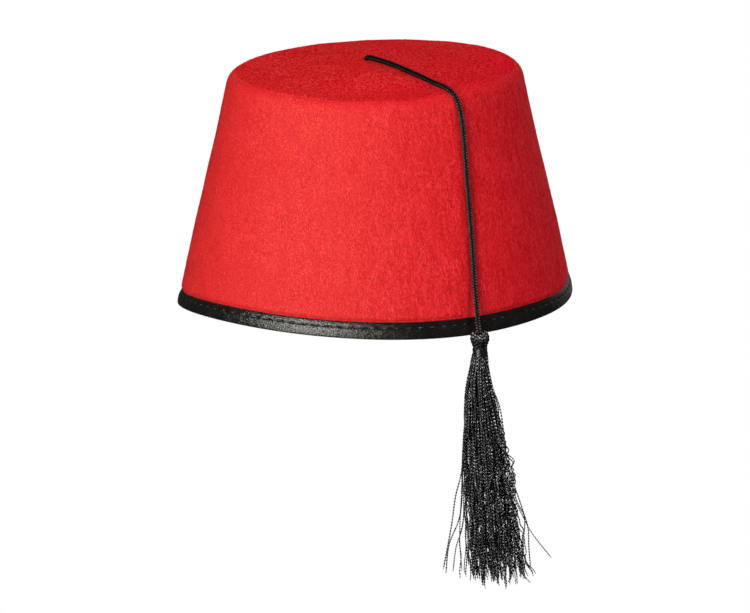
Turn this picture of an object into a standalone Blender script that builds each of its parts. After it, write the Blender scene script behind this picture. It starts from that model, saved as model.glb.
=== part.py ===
# Fez hat, in metres, +Z up: a moulded felt crown, the folded binding on its rim, a free cord from the middle
# of the top over the edge, and a tassel that hangs beside the rim. The origin is the middle of the rim's plane.
# The front is -Y. The long axis of the oval rim lies along Y.
import math

import bmesh
import bpy
from mathutils import Vector

mm = 0.001
segments = 64  # facets round the hat

# crown
rim_radius = 93.85  # mean outer radius of the felt where its wall meets the rim plane
top_radius = 69.2  # mean outer radius where the wall line meets the top
crown_height = 111.4
top_edge_radius = 7.5
top_dome = 2.0
felt_thickness = 2.0
felt_rim_height = 1.1  # the felt's lower edge, above the fold of the binding
rim_oval = 0.047  # share by which the rim is longer along Y and narrower along X
top_oval = 0.056
rim_wave = 3.1  # the rim dips at both sides and rises at front and back
crown_lean = (0.9, 1.05)  # the soft crown leans by this much at the top

# binding
tape_thickness = 0.8
tape_height = 8.1
tape_gap = 0.3
stitch_inset = 2.7  # the stitch line lies this far below the tape's upper edge
stitch_groove = 0.3
tape_puff = 0.12  # the tape swells by this much beside the stitch line

# cord and knot
cord_diameter = 2.6
cord_gap = 0.3
slot_length = 6.0
knot_width = 7.2
knot_length = 7.0

# middle line of the cord from the knot to the tassel: x, y, z in mm
cord_route = [
    (-6.2, 0.3, 110.5), (-6.2, 0.3, 111.5), (-5.6, 0.3, 113.1), (-4.1, 0.3, 114.5), (-1.6, 0.2, 115.1), (3.0, 0.0, 115.1), (9.4, -0.4, 115.0),
    (19.3, -1.8, 114.7), (31.2, -4.0, 114.1), (42.0, -5.9, 113.5), (52.5, -8.0, 113.2), (58.8, -9.0, 113.1),
    (63.6, -9.0, 112.4), (67.1, -8.2, 109.9), (69.5, -7.4, 106.3), (70.8, -6.8, 102.0), (71.7, -6.3, 96.5),
    (73.0, -6.5, 90.0), (74.9, -7.3, 80.5), (76.9, -8.2, 70.0), (79.2, -9.1, 58.5), (81.6, -10.1, 46.5), (84.1, -11.3, 34.0),
    (86.5, -12.6, 22.5), (88.6, -13.5, 13.5), (90.3, -14.4, 7.0), (92.0, -15.4, 2.2), (93.8, -16.2, -1.0), (94.2, -16.4, -2.4),
]

# tassel, which hangs from the end of the cord
notch_depth = 2.1
head_width = 9.1
head_height = 8.2
neck_width = 5.4
neck_length = 4.4
wrap_thickness = 0.8
wrap_turns = 4
skirt_length = 112.0
skirt_width = 25.0
lock_width = 8.2
skirt_drift = (4.2, 4.9)  # the foot of the skirt hangs this far to one side
core_width = 17.0
# core of the skirt: share of the length, share of the core's width
core_sections = [(0.015, 0.34), (0.1, 0.64), (0.24, 0.82), (0.42, 0.94), (0.6, 1.0), (0.75, 0.96), (0.83, 0.76)]
# locks of the skirt: angle in degrees, share of half the skirt's width at the foot, share of the length, share of the lock's width, bow
locks = [
    (0, 0.92, 0.95, 1.0, 0.8), (31, 1.0, 0.91, 0.95, -0.6), (62, 0.83, 0.98, 1.02, 0.5), (95, 0.96, 0.93, 0.98, 1.2),
    (126, 0.85, 0.965, 0.93, -0.9), (158, 0.94, 0.895, 1.0, 0.4), (187, 0.88, 0.95, 1.02, -0.7), (219, 0.99, 0.915, 0.95, 0.9),
    (250, 0.86, 0.985, 1.0, -0.4), (281, 0.95, 0.92, 0.98, 1.0), (312, 0.87, 0.96, 0.95, -1.1), (338, 0.98, 0.89, 0.93, 0.6),
    (45, 0.45, 0.99, 1.05, 0.3), (165, 0.43, 0.975, 1.05, -0.3), (285, 0.44, 1.0, 1.05, 0.4),
]
# one lock from neck to foot: share of its length, share of its reach, share of its width
lock_sections = [(0.03, 0.2, 0.35), (0.12, 0.34, 0.45), (0.25, 0.48, 0.6), (0.42, 0.63, 0.78), (0.6, 0.76, 0.8), (0.78, 0.87, 0.8), (0.92, 0.95, 0.62), (1.0, 1.0, 0.45)]


def place(radius, height, angle):
    """Point of the hat at a mean radius, a height and an angle, with the oval, the lean and the rim's wave."""
    share = min(max(height / crown_height, 0.0), 1.0)
    oval = 1.0 - ((1.0 - share) * rim_oval + share * top_oval) * math.cos(2.0 * angle)
    x = radius * oval * math.cos(angle) + crown_lean[0] * share
    y = radius * oval * math.sin(angle) + crown_lean[1] * share
    return (x, y, height - (1.0 - share) ** 2 * rim_wave * math.cos(2.0 * angle))


def felt_line(inset):
    """Half section of the felt's face, inset from the outer one, from near the middle of the top to the rim."""
    lean = math.atan2(rim_radius - top_radius, crown_height)
    corner = (top_radius - inset * (1.0 - math.sin(lean)) / math.cos(lean), crown_height - inset)
    edge = top_edge_radius - inset
    reach = edge * math.tan((math.pi / 2.0 - lean) / 2.0)
    flat = corner[0] - reach
    line = [(flat * q, crown_height - inset + top_dome * (1.0 - q * q) ** 2) for q in (0.16, 0.36, 0.56, 0.78)]
    for step in range(6):
        turn = (math.pi / 2.0 - lean) * step / 5.0
        line.append((flat + edge * math.sin(turn), corner[1] - edge + edge * math.cos(turn)))
    for share in (0.75, 0.57, 0.39, 0.24, 0.13, 0.055):
        line.append((wall_radius(share * crown_height, inset), share * crown_height))
    return line


def wall_radius(height, inset):
    """Mean radius of the wall at a height, inset from the felt's outer face (outwards when negative)."""
    lean = math.atan2(rim_radius - top_radius, crown_height)
    return rim_radius - (rim_radius - top_radius) * height / crown_height - inset / math.cos(lean)


def material(name, colour, roughness, sheen=0.0):
    mat = bpy.data.materials.new(name)
    mat.use_nodes = True
    shader = mat.node_tree.nodes["Principled BSDF"]
    shader.inputs["Base Color"].default_value = (*colour, 1.0)
    shader.inputs["Roughness"].default_value = roughness
    shader.inputs["Sheen Weight"].default_value = sheen
    mat.diffuse_color = (*colour, 1.0)
    return mat


def add_mesh(name, points, faces, mat):
    mesh = bpy.data.meshes.new(name)
    mesh.from_pydata([tuple(value * mm for value in point) for point in points], [], faces)
    shape = bmesh.new()
    shape.from_mesh(mesh)
    bmesh.ops.recalc_face_normals(shape, faces=shape.faces)
    shape.to_mesh(mesh)
    shape.free()
    obj = bpy.data.objects.new(name, mesh)
    bpy.context.scene.collection.objects.link(obj)
    if mat:
        mesh.materials.append(mat)
    return obj


def turned(line, closed, sides=segments):
    """Rings of the hat along a half section. A closed section makes a ring, an open one gets a point at both ends."""
    count = len(line)
    points = [place(radius, height, 2.0 * math.pi * k / sides) for radius, height in line for k in range(sides)]
    faces = []
    for row in range(count if closed else count - 1):
        here, there = row * sides, (row + 1) % count * sides
        for k in range(sides):
            after = (k + 1) % sides
            faces.append((here + k, here + after, there + after, there + k))
    if not closed:
        for row, lift in ((0, top_dome + crown_height), (count - 1, top_dome + crown_height - felt_thickness)):
            tip = len(points)
            points.append(place(0.0, lift, 0.0))
            for k in range(sides):
                faces.append((row * sides + k, row * sides + (k + 1) % sides, tip))
    return points, faces


def loft(rings):
    """Closed body through rings that all have the same number of points, with flat ends."""
    sides = len(rings[0])
    points = [point for ring in rings for point in ring]
    faces = [tuple(range(sides)), tuple(len(points) - 1 - k for k in range(sides))]
    for row in range(len(rings) - 1):
        for k in range(sides):
            after = (k + 1) % sides
            faces.append((row * sides + k, row * sides + after, (row + 1) * sides + after, (row + 1) * sides + k))
    return points, faces


def round_ring(middle, radius, sides, turn=0.0, across=None):
    """Level ring about a middle point. With across given, its second radius."""
    second = radius if across is None else across
    steps = [2.0 * math.pi * k / sides + turn for k in range(sides)]
    return [(middle[0] + radius * math.cos(a), middle[1] + second * math.sin(a), middle[2]) for a in steps]


def slot_ring(middle, half_length):
    """Level ring round the cord with straight sides, longer along X than the cord is thick."""
    ring = round_ring((0.0, 0.0, 0.0), cord_diameter / 2.0 + cord_gap + 0.1, 16, math.pi / 16.0)
    return [(middle[0] + x + math.copysign(half_length, x), middle[1] + y, middle[2]) for x, y, z in ring]


def smooth_line(route, spacing):
    """Catmull-Rom curve through the route points, read at even steps of its length."""
    points = [Vector(point) for point in route]
    points = [points[0] * 2.0 - points[1], *points, points[-1] * 2.0 - points[-2]]
    fine = []
    for before, here, there, after in zip(points, points[1:], points[2:], points[3:]):
        for step in range(24):
            t = step / 24.0
            fine.append(0.5 * (2.0 * here + (there - before) * t + (2.0 * before - 5.0 * here + 4.0 * there - after) * t * t
                               + (3.0 * here - before - 3.0 * there + after) * t ** 3))
    fine.append(points[-2])
    run = [0.0]
    for here, there in zip(fine, fine[1:]):
        run.append(run[-1] + (there - here).length)
    count = round(run[-1] / spacing)
    line, row = [], 0
    for step in range(count + 1):
        target = run[-1] * step / count
        while row < len(run) - 2 and run[row + 1] < target:
            row += 1
        line.append(fine[row].lerp(fine[row + 1], (target - run[row]) / (run[row + 1] - run[row])))
    return line


def cut(target, cutter):
    cutter.hide_render = True
    cutter.display_type = "WIRE"
    modifier = target.modifiers.new("hole", "BOOLEAN")
    modifier.operation = "DIFFERENCE"
    modifier.solver = "EXACT"
    modifier.object = cutter


def add_crown(mat):
    outer = felt_line(0.0)
    inner = felt_line(felt_thickness)
    middle = wall_radius(felt_rim_height, felt_thickness / 2.0)
    flat = felt_thickness * 0.22
    corner = felt_rim_height + felt_thickness / 4.0
    foot = [(wall_radius(corner, 0.0), corner), (middle + flat, felt_rim_height), (middle - flat, felt_rim_height),
            (wall_radius(corner, felt_thickness), corner)]
    crown = add_mesh("crown", *turned(outer + foot + inner[::-1], closed=False), mat)
    # a slot for the cord, which turns from upright to flat inside it
    x, y, start = cord_route[0]
    level = crown_height + top_dome
    lower = slot_ring((x - 0.05 * slot_length, y, level - 2.0 * felt_thickness), 0.03 * slot_length)
    upper = slot_ring((x + 0.57 * slot_length, y, level + 0.75 * felt_thickness), slot_length / 3.0)
    cut(crown, add_mesh("cord_hole_cutter", *loft([lower, upper]), None))


def add_binding(mat):
    """Tape folded over the rim: outer face with the pressed stitch line, fold, inner face, and back along the felt."""
    skin = tape_gap + tape_thickness
    inside = felt_thickness + skin
    top = tape_height
    stitch_height = tape_height - stitch_inset
    round_off = tape_thickness * 0.4
    outer = [(top - round_off, 0.4 * tape_puff), (top - 0.45 * stitch_inset, tape_puff), (top - 0.75 * stitch_inset, 0.8 * tape_puff),
             (stitch_height, -stitch_groove), (stitch_height * 0.85, tape_puff), (stitch_height * 0.55, 1.7 * tape_puff),
             (stitch_height * 0.22, 0.4 * tape_puff)]
    line = [(wall_radius(height, -skin - puff), height) for height, puff in outer]
    middle = wall_radius(0.0, felt_thickness / 2.0)
    half = felt_thickness / 2.0 + skin
    line += [(middle + step * half, height) for step, height in ((0.65, 0.15), (0.26, 0.0), (-0.26, 0.0), (-0.65, 0.15))]
    line += [(wall_radius(height, inside + puff), height) for height, puff in
             ((stitch_height * 0.22, 0.0), (stitch_height, tape_puff), (top - round_off, 0.0))]
    line += [(wall_radius(top, felt_thickness + tape_gap + round_off), top)]
    near = felt_rim_height - tape_gap - 0.05
    corner = near + felt_thickness * 0.3
    flat = felt_thickness * 0.28
    inner = felt_thickness + tape_gap
    line += [(wall_radius(top - round_off, inner), top - round_off), (wall_radius(corner, inner), corner), (middle - flat, near),
             (middle + flat, near), (wall_radius(corner, -tape_gap), corner)]
    line += [(wall_radius(stitch_height, -tape_gap), stitch_height), (wall_radius(top - round_off, -tape_gap), top - round_off)]
    line += [(wall_radius(top, -tape_gap - tape_thickness / 2.0), top)]
    add_mesh("rim_binding", *turned(line, closed=True), mat)


def add_cord(mat):
    line = smooth_line(cord_route, cord_diameter * 1.3)
    curve = bpy.data.curves.new("cord", "CURVE")
    curve.dimensions = "3D"
    curve.bevel_depth = cord_diameter / 2.0 * mm
    curve.bevel_resolution = 2
    curve.use_fill_caps = True
    spline = curve.splines.new("POLY")
    spline.points.add(len(line) - 1)
    for point, place_at in zip(spline.points, line):
        point.co = (*(place_at * mm), 1.0)
    curve.materials.append(mat)
    bpy.context.scene.collection.objects.link(bpy.data.objects.new("cord", curve))


def add_knot(mat):
    x, y, start = cord_route[0]
    middle = start - 2.0 * cord_gap - knot_length / 2.0
    rings = []
    for step in range(7):
        turn = math.pi * (0.08 + 0.84 * step / 6.0)
        height = middle + knot_length / 2.0 * math.cos(turn) / math.cos(math.pi * 0.08)
        rings.append(round_ring((x, y, height), knot_width / 2.0 * math.sin(turn) ** 0.7, 16))
    add_mesh("cord_knot", *loft(rings), mat)


def tassel_levels():
    """Heights of the head's top and middle, the neck's top and the skirt's top, down from the end of the cord."""
    head_top = cord_route[-1][2] - 2.5 * cord_gap + notch_depth
    neck_top = head_top - head_height * 0.94
    return head_top, head_top - head_height / 2.0, neck_top, neck_top - neck_length


def add_tassel(mat, wrap_mat):
    """Head, neck and skirt fused into one body. The skirt is a core with locks, each with its own foot."""
    x, y, cord_end = cord_route[-1]
    head_top, head_middle, neck_top, skirt_top = tassel_levels()
    sides = 18
    # the notch in the top where the cord goes in
    rings = [round_ring((x, y, head_top - notch_depth), cord_diameter / 2.0 + cord_gap, sides),
             round_ring((x, y, head_top), cord_diameter / 2.0 + 3.0 * cord_gap, sides)]
    for share in (0.16, 0.28, 0.4, 0.52, 0.64, 0.74, 0.81):
        turn = math.pi * share
        height = head_middle + head_height / 2.0 * math.cos(turn)
        rings.append(lumpy_ring((x, y, height), head_width / 2.0 * math.sin(turn) ** 0.8, sides))
    rings += [round_ring((x, y, neck_top), neck_width / 2.0, sides), round_ring((x, y, skirt_top), neck_width / 2.0, sides)]
    for share, width in core_sections:
        rings.append(round_ring(skirt_middle(share), core_width / 2.0 * width, sides))
    body = add_mesh("tassel", *loft(rings), mat)
    points, faces = [], []
    for row in locks:
        more, more_faces = loft(lock_rings(*row))
        faces += [tuple(index + len(points) for index in face) for face in more_faces]
        points += more
    skirt = add_mesh("tassel_locks", points, faces, None)
    skirt.hide_render = True
    skirt.display_type = "WIRE"
    fuse = body.modifiers.new("locks", "BOOLEAN")
    fuse.operation = "UNION"
    fuse.solver = "EXACT"
    fuse.use_self = True
    fuse.object = skirt
    add_wrap(wrap_mat, sides)


def add_wrap(mat, sides):
    """Band round the neck, with a swell for each of its turns."""
    x, y, cord_end = cord_route[-1]
    head_top, head_middle, neck_top, skirt_top = tassel_levels()
    inner = neck_width / 2.0 + cord_gap
    outer = inner + wrap_thickness
    top, foot = neck_top - cord_gap, skirt_top + cord_gap
    pitch = (top - foot) / wrap_turns
    line = [(inner, top)]
    for turn in range(wrap_turns):
        line += [(outer - 0.2 * wrap_thickness, top - turn * pitch), (outer, top - (turn + 0.5) * pitch)]
    line += [(outer - 0.2 * wrap_thickness, foot), (inner, foot)]
    points = [point for radius, height in line for point in round_ring((x, y, height), radius, sides)]
    faces = []
    for row in range(len(line)):
        here, there = row * sides, (row + 1) % len(line) * sides
        faces += [(here + k, here + (k + 1) % sides, there + (k + 1) % sides, there + k) for k in range(sides)]
    add_mesh("tassel_wrap", points, faces, mat)


def lumpy_ring(middle, radius, sides):
    """Ring that swells and sinks six times, like loops of yarn side by side."""
    ring = []
    for step in range(sides):
        a = 2.0 * math.pi * step / sides
        reach = radius * (1.0 + 0.05 * math.cos(6.0 * a))
        ring.append((middle[0] + reach * math.cos(a), middle[1] + reach * math.sin(a), middle[2]))
    return ring


def skirt_middle(share):
    """Middle of the skirt at a share of its length, with its drift to one side."""
    x, y, cord_end = cord_route[-1]
    drift = share ** 1.6
    return (x + skirt_drift[0] * drift, y + skirt_drift[1] * drift, tassel_levels()[3] - skirt_length * share)


def lock_rings(angle, reach, length, width, bow):
    """Tapering lock from inside the neck's foot outwards and down."""
    rings = []
    for share, out_share, width_share in lock_sections:
        turn = math.radians(angle) + 0.05 * bow * math.sin(math.pi * share * 1.5)
        out = skirt_width / 2.0 * reach * out_share
        x, y, z = skirt_middle(share * length)
        size = lock_width / 2.0 * width * width_share
        rings.append(round_ring((x + out * math.cos(turn), y + out * math.sin(turn), z), size, 7, turn))
    return rings


for old in list(bpy.data.objects):
    bpy.data.objects.remove(old)

add_crown(material("red_felt", (0.62, 0.022, 0.02), 0.92, 0.3))
add_binding(material("black_tape", (0.012, 0.012, 0.013), 0.34))
add_cord(material("black_cord", (0.011, 0.01, 0.01), 0.5))
add_knot(material("black_knot", (0.012, 0.011, 0.011), 0.55))
add_tassel(material("black_yarn", (0.01, 0.01, 0.011), 0.42), material("black_wrap", (0.013, 0.012, 0.012), 0.45))
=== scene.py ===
import math

import bpy
import numpy as np
from mathutils import Matrix, Vector


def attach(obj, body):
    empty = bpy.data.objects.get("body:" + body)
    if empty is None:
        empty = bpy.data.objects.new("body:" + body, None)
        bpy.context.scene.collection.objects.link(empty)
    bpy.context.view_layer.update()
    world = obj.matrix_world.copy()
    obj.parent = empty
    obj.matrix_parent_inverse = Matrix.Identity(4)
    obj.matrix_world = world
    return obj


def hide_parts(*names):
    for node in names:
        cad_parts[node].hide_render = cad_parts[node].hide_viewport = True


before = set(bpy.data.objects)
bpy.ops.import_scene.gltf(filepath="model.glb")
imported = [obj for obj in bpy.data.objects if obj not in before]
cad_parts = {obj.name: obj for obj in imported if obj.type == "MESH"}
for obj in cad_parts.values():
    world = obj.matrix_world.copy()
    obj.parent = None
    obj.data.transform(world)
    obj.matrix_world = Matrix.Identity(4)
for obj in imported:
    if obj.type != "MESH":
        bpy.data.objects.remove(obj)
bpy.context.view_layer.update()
mm = 0.001


# Meshes from arrays

def addMesh(name, points, quads, material, tone=None):
    # points is n by 3 in millimetres, quads m by 4 point numbers, and tone a number per point
    mesh = bpy.data.meshes.new(name)
    quads = np.asarray(quads, dtype=np.int32)
    places = (np.asarray(points, dtype=np.float64) * mm).astype(np.float32)
    mesh.vertices.add(len(points))
    mesh.vertices.foreach_set("co", places.ravel())
    mesh.loops.add(quads.size)
    mesh.loops.foreach_set("vertex_index", quads.ravel())
    mesh.polygons.add(len(quads))
    mesh.polygons.foreach_set("loop_start", np.arange(0, quads.size, 4, dtype=np.int32))
    mesh.polygons.foreach_set("use_smooth", np.ones(len(quads), dtype=bool))
    mesh.update(calc_edges=True)
    if tone is not None:
        values = mesh.attributes.new("tone", "FLOAT", "POINT").data
        values.foreach_set("value", np.asarray(tone, dtype=np.float32).ravel())
    mesh.materials.append(material)
    piece = bpy.data.objects.new(name, mesh)
    bpy.context.scene.collection.objects.link(piece)
    return piece


def dress(piece, node):
    # hangs a finished piece on the hat's one body, in place of a solid
    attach(piece, "root")
    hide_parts(node)


def gridQuads(rows, cols, closeRows=False):
    # neighbours in a grid of points that is closed along its columns and numbered along them first
    row, col = np.meshgrid(np.arange(rows if closeRows else rows - 1), np.arange(cols), indexing="ij")
    nextRow, nextCol = (row + 1) % rows, (col + 1) % cols
    corners = (row * cols + col, row * cols + nextCol, nextRow * cols + nextCol, nextRow * cols + col)
    return np.stack(corners, -1).reshape(-1, 4)


def tubeCap(count, steps, sides, row):
    # an end of each tube closed by quads across its ring, for an even number of sides
    half = sides // 2
    k = np.arange(half - 1)
    ring = np.stack([k, k + 1, sides - 2 - k, sides - 1 - k], -1)
    if row == 0:
        ring = ring[:, ::-1]
    start = (np.arange(count) * steps * sides + row * sides)[:, None, None]
    return (ring[None] + start).reshape(-1, 4)


def bundleQuads(count, steps, sides):
    # the skins of a bundle of tubes, numbered one after the other, and both ends of each
    skins = gridQuads(steps, sides)[None] + (np.arange(count) * steps * sides)[:, None, None]
    caps = [tubeCap(count, steps, sides, row) for row in (0, steps - 1)]
    return np.concatenate([skins.reshape(-1, 4), *caps])


def joined(name, pieces, material):
    # one mesh of several, each given as its points, quads and tones
    before, points, quads, tones = 0, [], [], []
    for morePoints, moreQuads, moreTones in pieces:
        points.append(morePoints)
        quads.append(moreQuads + before)
        tones.append(moreTones)
        before += len(morePoints)
    return addMesh(name, np.concatenate(points), np.concatenate(quads), material, np.concatenate(tones))


def circle(sides):
    # even angles round a circle
    return np.linspace(0, 2 * np.pi, sides, endpoint=False)


def roundUpright(middle, radius, angle, height):
    # points at a radius and an angle from an upright line, at a height
    x, y = middle[0] + radius * np.cos(angle), middle[1] + radius * np.sin(angle)
    return np.stack(np.broadcast_arrays(x, y, height), -1)


def unit(vectors):
    # the same ways, 1 long
    return vectors / np.maximum(np.linalg.norm(vectors, axis=-1, keepdims=True), 1e-12)


def easeIn(value, low, high):
    # 0 below low, 1 above high, and 3 t squared - 2 t cubed between them
    t = np.clip((value - low) / (high - low), 0, 1)
    return t * t * (3 - 2 * t)


def tubes(paths, wide, thick, turns, sides, reference):
    # A bundle of yarns: a path is n by m points, and round each point lies an ellipse of half widths
    # wide and thick, turned about the path by the angle turns. All are worked out as one n by m by
    # sides array.
    count, steps = paths.shape[:2]
    along = unit(np.gradient(paths, axis=1))
    across = unit(np.cross(along, np.asarray(reference)))
    over = np.cross(along, across)
    angle = circle(sides)[None, None]
    wide, thick, turned = (np.broadcast_to(k, (count, steps))[..., None] for k in (wide, thick, turns))
    flatX, flatY = wide * np.cos(angle), thick * np.sin(angle)
    x = flatX * np.cos(turned) - flatY * np.sin(turned)
    y = flatX * np.sin(turned) + flatY * np.cos(turned)
    points = paths[:, :, None] + x[..., None] * across[:, :, None] + y[..., None] * over[:, :, None]
    return points.reshape(-1, 3), bundleQuads(count, steps, sides)


def smoothRoute(route, count):
    # Catmull-Rom curve through the route's points, read at even steps of its length
    points = np.asarray(route, dtype=float)
    points = np.concatenate([[2 * points[0] - points[1]], points, [2 * points[-1] - points[-2]]])
    t = np.linspace(0, 1, 24, endpoint=False)[None, :, None]
    a, b, c, d = (points[k:len(points) - 3 + k, None] for k in range(4))
    squares, cubes = 2 * a - 5 * b + 4 * c - d, 3 * b - a - 3 * c + d
    fine = 0.5 * (2 * b + (c - a) * t + squares * t ** 2 + cubes * t ** 3)
    fine = np.concatenate([fine.reshape(-1, 3), points[-2:-1]])
    run = np.concatenate([[0], np.cumsum(np.linalg.norm(np.diff(fine, axis=0), axis=1))])
    at = np.linspace(0, run[-1], count)
    return np.stack([np.interp(at, run, fine[:, k]) for k in range(3)], -1), run[-1]


def resample(rows, steps):
    # each row of numbers read at new even steps
    old, new = np.linspace(0, 1, rows.shape[1]), np.linspace(0, 1, steps)
    return np.stack([np.interp(new, old, row) for row in rows])


def softened(paths, rounds):
    # each inner point becomes a quarter of either neighbour and half of itself
    for _ in range(rounds):
        inner = (paths[:, :-2] + 2 * paths[:, 1:-1] + paths[:, 2:]) / 4
        paths = np.concatenate([paths[:, :1], inner, paths[:, -1:]], axis=1)
    return paths


# Shader sheets

class Wire:
    # one output of a shader node, whose arithmetic adds Math nodes
    def __init__(self, sheet, socket):
        self.sheet, self.socket = sheet, socket

    def math(self, operation, first, second):
        return self.sheet.add("ShaderNodeMath", {"operation": operation}, [first, second])

    def __add__(self, other):
        return self.math("ADD", self, other)

    def __sub__(self, other):
        return self.math("SUBTRACT", self, other)

    def __rsub__(self, other):
        return self.math("SUBTRACT", other, self)

    def __mul__(self, other):
        return self.math("MULTIPLY", self, other)


class Sheet:
    # a material whose nodes are all made by one method
    def __init__(self, name):
        self.material = bpy.data.materials.new(name)
        self.material.use_nodes = True
        self.tree = self.material.node_tree
        self.tree.nodes.clear()

    def add(self, kind, settings=None, inputs=None, output=0):
        node = self.tree.nodes.new(kind)
        for key, value in (settings or {}).items():
            if key == "stops":
                self.setStops(node.color_ramp, value)
            else:
                setattr(node, key, value)
        named = inputs.items() if isinstance(inputs, dict) else enumerate(inputs or [])
        for key, value in named:
            if isinstance(value, Wire):
                self.tree.links.new(value.socket, node.inputs[key])
            else:
                node.inputs[key].default_value = value
        return Wire(self, node.outputs[output])

    def setStops(self, ramp, stops):
        while len(ramp.elements) < len(stops):
            ramp.elements.new(0.5)
        for stop, (position, colour) in zip(ramp.elements, stops):
            stop.position, stop.color = position, (*colour, 1.0)

    def coords(self):
        return self.add("ShaderNodeTexCoord", output="Object")

    def place(self, stretch=(1.0, 1.0, 1.0)):
        return self.add("ShaderNodeMapping", inputs={"Vector": self.coords(), "Scale": stretch})

    def noise(self, where, size, detail=2.0, rough=0.55, twist=0.0):
        # cloudy value from 0 to 1 with features of about the given size in metres
        inputs = {"Vector": where, "Scale": 1.0 / size, "Detail": detail, "Roughness": rough,
                  "Distortion": twist}
        return self.add("ShaderNodeTexNoise", inputs=inputs)

    def tone(self):
        return self.add("ShaderNodeAttribute", {"attribute_name": "tone"}, output="Fac")

    def blend(self, share, first, second, mode="MIX"):
        # sockets 6 and 7 and output 2 are the Mix node's colours
        settings = {"data_type": "RGBA", "blend_type": mode}
        return self.add("ShaderNodeMix", settings, {"Factor": share, 6: first, 7: second}, output=2)

    def ramp(self, value, *stops):
        return self.add("ShaderNodeValToRGB", {"stops": stops}, [value])

    def spread(self, value, low, high, toLow=0.0, toHigh=1.0):
        # low to high becomes toLow to toHigh, and what lies outside is held at the nearer end
        inputs = {"Value": value, "From Min": low, "From Max": high, "To Min": toLow, "To Max": toHigh}
        return self.add("ShaderNodeMapRange", inputs=inputs)

    def bump(self, height, depth):
        return self.add("ShaderNodeBump", inputs={"Height": height, "Distance": depth, "Strength": 1.0})

    def finish(self, **sockets):
        values = {key.replace("_", " "): value for key, value in sockets.items()}
        shader = self.add("ShaderNodeBsdfPrincipled", inputs=values)
        out = self.tree.nodes.new("ShaderNodeOutputMaterial")
        self.tree.links.new(shader.socket, out.inputs["Surface"])
        return self.material


# Camera, light and floor

studio = {
    "azimuth": 49.5, "elevation": 14.4686, "roll": -0.8206,  # degrees, of the camera
    "distance": 2.28, "aim": (-0.0002468, -0.0002890, -0.008417),  # metres
    "lensPixels": 4678.1, "imageWidth": 750, "sensor": 36.0,
    "floorHeight": -0.42, "sweepFlat": 4.0, "sweepRound": 3.0, "sweepTop": 6.0, "sweepHub": 0.02,  # metres
    "sweepSides": 96, "glow": 1.0, "world": (0.035, 0.035, 0.035),
}
# Azimuth, elevation, distance, width, height, watts, and the kind of ray that misses the lamp, if any.
# The back one lights the side away from the camera, and the low card in front shines in threads as a
# pale table would.
softboxes = {
    "key": (18.5, 22.0, 1.5, 0.8, 0.8, 29.0, None),
    "fill": (119.5, 20.0, 1.7, 0.9, 0.9, 15.6, "visible_glossy"),
    "top": (30.0, 78.0, 1.5, 0.9, 0.9, 4.7, "visible_glossy"),
    "edge": (-156.0, 6.0, 1.6, 0.5, 1.0, 0.5, "visible_diffuse"),
    "back": (229.5, 14.0, 1.8, 0.8, 0.8, 17.0, "visible_glossy"),
    "card": (28.0, -14.0, 1.4, 0.8, 0.5, 3.5, "visible_diffuse"),
}


def towards(azimuth, elevation):
    # direction from the hat to a place at this azimuth and elevation, where azimuth 0 is in front, at -Y
    a, e = math.radians(azimuth), math.radians(elevation)
    return Vector((math.sin(a) * math.cos(e), -math.cos(a) * math.cos(e), math.sin(e)))


def addCamera():
    azimuth, roll = math.radians(studio["azimuth"]), math.radians(studio["roll"])
    back = towards(studio["azimuth"], studio["elevation"])
    right = Vector((math.cos(azimuth), math.sin(azimuth), 0.0))
    up = back.cross(right)
    rolledRight = right * math.cos(roll) + up * math.sin(roll)
    rolledUp = up * math.cos(roll) - right * math.sin(roll)
    data = bpy.data.cameras.new("camera")
    data.sensor_fit, data.sensor_width = "HORIZONTAL", studio["sensor"]
    data.lens = studio["lensPixels"] / studio["imageWidth"] * data.sensor_width
    data.clip_start, data.clip_end = 0.1, 60.0
    camera = bpy.data.objects.new("camera", data)
    turn = Matrix((rolledRight, rolledUp, back)).transposed().to_4x4()
    camera.matrix_world = Matrix.Translation(Vector(studio["aim"]) + back * studio["distance"]) @ turn
    bpy.context.scene.collection.objects.link(camera)
    bpy.context.scene.camera = camera


def addSoftbox(name, azimuth, elevation, distance, width, height, watts, missing):
    data = bpy.data.lights.new(name + "_light", "AREA")
    data.shape = "RECTANGLE"
    data.size, data.size_y = width, height
    data.energy = watts
    light = bpy.data.objects.new(name + "_light", data)
    way = towards(azimuth, elevation)
    turn = way.to_track_quat("Z", "Y").to_matrix().to_4x4()
    light.matrix_world = Matrix.Translation(way * distance) @ turn
    bpy.context.scene.collection.objects.link(light)
    if missing:
        setattr(light, missing, False)


def addFloor():
    # A white floor that curves up into a wall all round: a disc, a quarter circle and an upright,
    # carried round the middle. It glows evenly and casts no light on the hat.
    black, white = (0.0, 0.0, 0.0, 1.0), (1.0, 1.0, 1.0, 1.0)
    paper = Sheet("studio_paper").finish(Base_Color=black, Roughness=1.0, Specular_IOR_Level=0.0,
                                         Emission_Color=white, Emission_Strength=studio["glow"])
    flat, bend = studio["sweepFlat"], studio["sweepRound"]
    turn = np.linspace(0, math.pi / 2, 12)
    reach = np.concatenate([[studio["sweepHub"]], flat + bend * np.sin(turn), [flat + bend]]) / mm
    curve = np.concatenate([[0.0], bend * (1 - np.cos(turn)), [studio["sweepTop"]]])
    rise = (studio["floorHeight"] + curve) / mm
    sweep = roundUpright((0, 0), reach[:, None], circle(studio["sweepSides"]), rise[:, None])
    quads = [gridQuads(len(reach), studio["sweepSides"]), tubeCap(1, len(reach), studio["sweepSides"], 0)]
    floor = addMesh("studio_floor", sweep.reshape(-1, 3), np.concatenate(quads), paper)
    floor.visible_diffuse = floor.visible_glossy = floor.visible_shadow = False


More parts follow.
